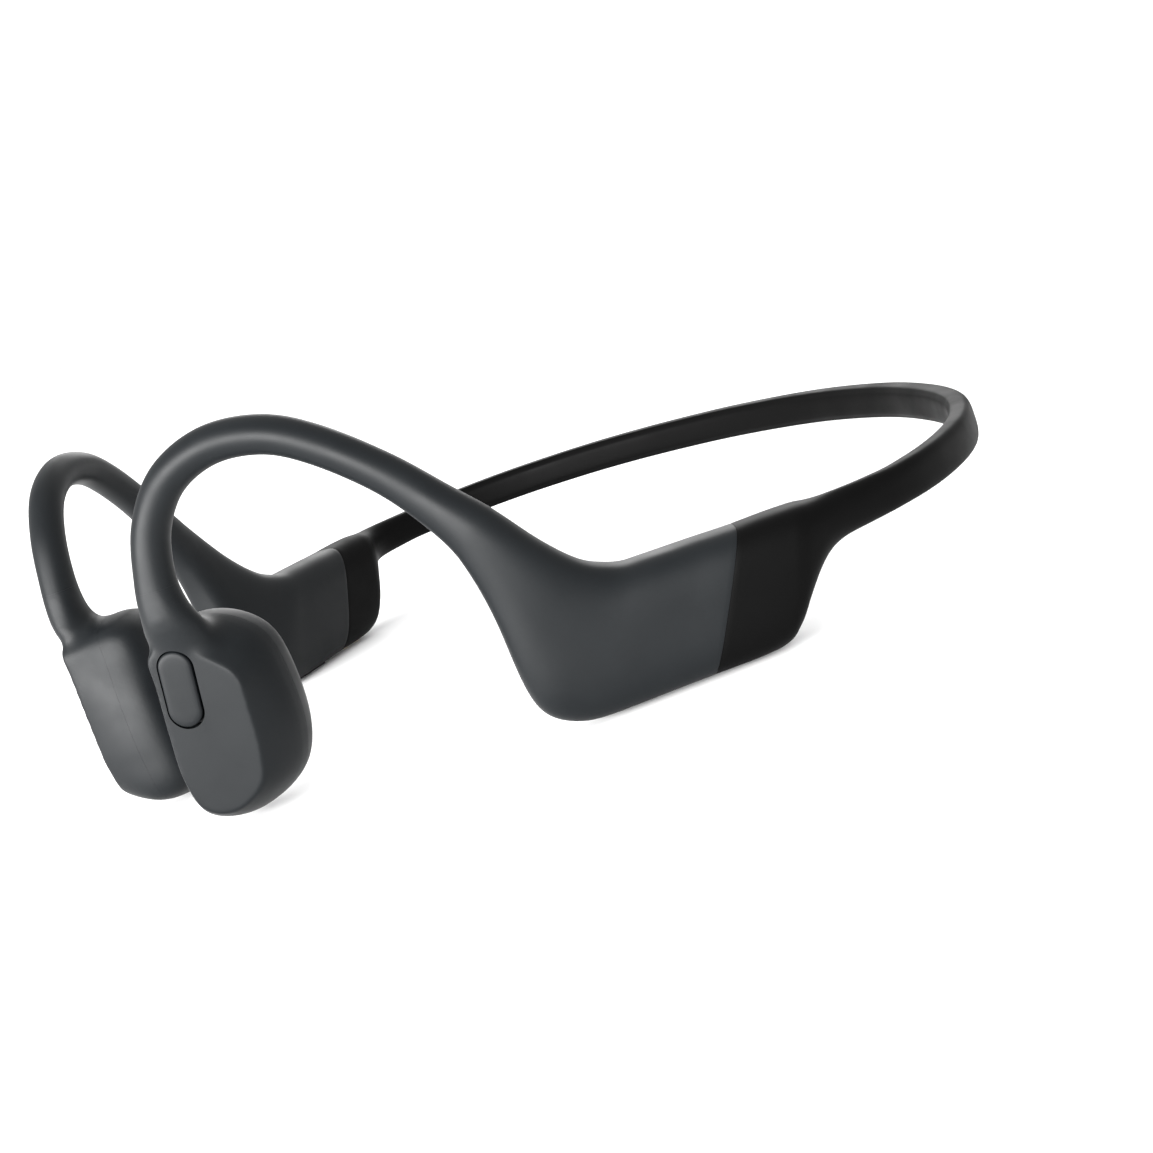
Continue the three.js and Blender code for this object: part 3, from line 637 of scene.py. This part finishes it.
def material(name, colour, roughness, metallic=0.0, grain=0.0, grain_size=0.1, cloud=0.12, cloud_size=6.0,
             **sockets):
    """A moulded or metal finish. Sizes are in millimetres: grain is the height of its fine texture, and
    cloud the share by which its colour drifts over cloud_size."""
    low, high = 0.3, 0.7
    made = bpy.data.materials.new(name)
    made.use_nodes = True
    tree = made.node_tree
    shader = tree.nodes["Principled BSDF"]
    shader.inputs["Metallic"].default_value = metallic
    for socket, value in sockets.items():
        shader.inputs[socket.replace("_", " ")].default_value = value
    place = tree.nodes.new("ShaderNodeTexCoord")
    clouds = noise(tree, place, cloud_size, 4)
    tint = tree.nodes.new("ShaderNodeValToRGB")
    for stop, position, drift in zip(tint.color_ramp.elements, (low, high), (1 - cloud, 1 + cloud)):
        stop.position = position
        stop.color = [min(1, c * drift) for c in colour] + [1]
    tree.links.new(clouds.outputs["Fac"], tint.inputs["Fac"])
    tree.links.new(tint.outputs["Color"], shader.inputs["Base Color"])
    rough = tree.nodes.new("ShaderNodeMapRange")
    rough.inputs["From Min"].default_value = low
    rough.inputs["From Max"].default_value = high
    rough.inputs["To Min"].default_value = roughness - ROUGHNESS_SPREAD
    rough.inputs["To Max"].default_value = roughness + ROUGHNESS_SPREAD
    tree.links.new(clouds.outputs["Fac"], rough.inputs["Value"])
    tree.links.new(rough.outputs["Result"], shader.inputs["Roughness"])
    if grain:
        fine = noise(tree, place, grain_size, 3)
        fine.inputs["Roughness"].default_value = 0.6
        bump = tree.nodes.new("ShaderNodeBump")
        bump.inputs["Distance"].default_value = grain * MM
        bump.inputs["Strength"].default_value = 0.6
        tree.links.new(fine.outputs["Fac"], bump.inputs["Height"])
        tree.links.new(bump.outputs["Normal"], shader.inputs["Normal"])
    return made


SLATE = material("slate_soft_touch", (0.0032, 0.0041, 0.0049), 0.47, grain=0.006, grain_size=0.12, cloud=0.06,
                 Specular_IOR_Level=0.16)
BLACK = material("black_silicone", (0.0008, 0.0008, 0.0008), 0.52, grain=0.006, grain_size=0.14, cloud=0.08,
                 Specular_IOR_Level=0.055)
LOOKS = {
    "slate_shell": SLATE,
    "black_shell": BLACK,
    "key_cap": material("key_plastic", (0.008, 0.008, 0.009), 0.38, grain=0.004, cloud=0.08),
    "seal": material("seal_rubber", (0.02, 0.02, 0.02), 0.75, grain=0.01, grain_size=0.2),
    "internal_plastic": material("internal_plastic", (0.27, 0.28, 0.29), 0.5, grain=0.008, grain_size=0.3),
    "cell_pouch": material("cell_foil", (0.5, 0.51, 0.52), 0.35, metallic=0.9, grain=0.03, grain_size=1.2),
    "board": material("solder_mask", (0.01, 0.09, 0.03), 0.35, grain=0.02, grain_size=0.8),
    "light_pipe": material("clear_light_pipe", (0.8, 0.83, 0.8), 0.2, cloud=0.02, Transmission_Weight=0.6),
    "lead_enamel": material("enamelled_lead", (0.2, 0.02, 0.02), 0.3, grain=0.01, grain_size=0.3),
    "steel": material("pressed_steel", (0.3, 0.32, 0.34), 0.36, metallic=1, grain=0.006, grain_size=0.2),
    "magnet": material("nickel_plated_magnet", (0.55, 0.57, 0.6), 0.22, metallic=1, grain=0.003,
                       grain_size=0.4),
    "copper": material("wound_copper", (0.45, 0.15, 0.06), 0.32, metallic=1, grain=0.02, grain_size=0.12),
    "gold_plate": material("gold_plating", (0.7, 0.45, 0.12), 0.25, metallic=1, grain=0.003, grain_size=0.2),
    "spring_wire": material("drawn_spring_wire", (0.32, 0.33, 0.34), 0.3, metallic=1, grain=0.004,
                            grain_size=0.2),
}
for entry in frame["record"]["subparts"]:
    node = frame["nodes"][entry["node"]]
    node.data.materials.clear()
    node.data.materials.append(LOOKS[entry["material_slot"]])
    if node.name.startswith("volume_"):
        soften = node.modifiers.new("soft_edges", "BEVEL")
        soften.width = KEY_EDGE * MM
        soften.segments = 3

# ---- assembly ----
body_mesh = transducer_body()
for side in (1, -1):
    word, body = WORDS[side], BODIES[side]
    for made, node, look in (
            (hook_cover(side, SLATE), "hook_cover", "slate_shell"),
            (housing(body_mesh, side, SLATE), "transducer_housing", "slate_shell"),
            (contact_shell(body_mesh, side, SLATE), "contact_shell", "slate_shell")):
        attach(made, body)
        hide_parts(f"{word}_{node}")
    moulding = band_half(side, BLACK)
    wire = band_strand(side, word + "_band_wire_half", WIRE_RADIUS, WIRE_LIFT, LOOKS["spring_wire"])
    lead = band_strand(side, word + "_band_lead_half", LEAD_RADIUS, LEAD_LIFT, LOOKS["lead_enamel"])
    for made, look in ((moulding, "black_shell"), (wire, "spring_wire"), (lead, "lead_enamel")):
        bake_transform(made)
    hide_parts(f"{word}_pod_rear_cover", f"{word}_band_arm", "band_middle")
    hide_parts("band_wire")
    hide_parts("band_lead")
cap = button(SLATE)
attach(cap, "multifunction_button")
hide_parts("multifunction_button")


# ---- studio, in metres and watts ----
FLOOR_RADIUS = 4.0
FLOOR_SIDES = 96
WORLD_STRENGTH = 1.06


def studio():
    """A wide white paper floor, which the part's measures leave out."""
    mesh = bpy.data.meshes.new("studio_floor")
    rim = [Vector((FLOOR_RADIUS * math.cos(a), FLOOR_RADIUS * math.sin(a), 0)) for a in turns(FLOOR_SIDES)]
    mesh.from_pydata(rim, [], [tuple(range(FLOOR_SIDES))])
    mesh.materials.append(material("studio_paper", (0.95, 0.95, 0.95), 0.9, cloud=0.01, cloud_size=200))
    floor = bpy.data.objects.new("studio_floor", mesh)
    bpy.context.scene.collection.objects.link(floor)


def softbox(name, place, target, size, power):
    """A rectangular lamp that faces its target."""
    light = bpy.data.lights.new(name, "AREA")
    light.shape = "RECTANGLE"
    light.size, light.size_y = size
    light.energy = power
    lamp = bpy.data.objects.new(name, light)
    lamp.location = place
    lamp.rotation_euler = (Vector(target) - Vector(place)).to_track_quat("-Z", "Y").to_euler()
    bpy.context.scene.collection.objects.link(lamp)


studio()
softbox("overhead", (-0.1, 0.1, 0.8), (0, 0, 0), (0.8, 0.8), 0.8)
softbox("front", (0.22, -0.72, 0.13), (0, 0, 0.02), (1.1, 0.3), 33)
softbox("behind", (-0.7, 0.5, 0.4), (0, 0, 0.02), (0.6, 0.4), 3)

world = bpy.context.scene.world or bpy.data.worlds.new("studio_air")
bpy.context.scene.world = world
world.use_nodes = True
air = world.node_tree
air.nodes["Background"].inputs["Color"].default_value = (1, 1, 1, 1)
air.nodes["Background"].inputs["Strength"].default_value = WORLD_STRENGTH
bpy.context.scene.view_settings.view_transform = "Standard"

# ---- camera, its place and axes fitted to the photo's contours ----
CAMERA_AT = Vector((0.22365, -0.1157, 0.0549))
RIGHT = Vector((0.51054, 0.78629, -0.34799))
DOWN = Vector((-0.01389, -0.39711, -0.91767))
FIELD = math.radians(31)
lens = bpy.data.cameras.new("camera")
lens.sensor_width = 36
lens.lens = lens.sensor_width / 2 / math.tan(FIELD / 2)
lens.clip_start = 0.01
camera = bpy.data.objects.new("camera", lens)
up = -DOWN.normalized()
back = RIGHT.cross(up).normalized()
right = up.cross(back).normalized()
camera.matrix_world = Matrix.Translation(CAMERA_AT) @ Matrix((right, up, back)).transposed().to_4x4()
bpy.context.scene.collection.objects.link(camera)
bpy.context.scene.camera = camera
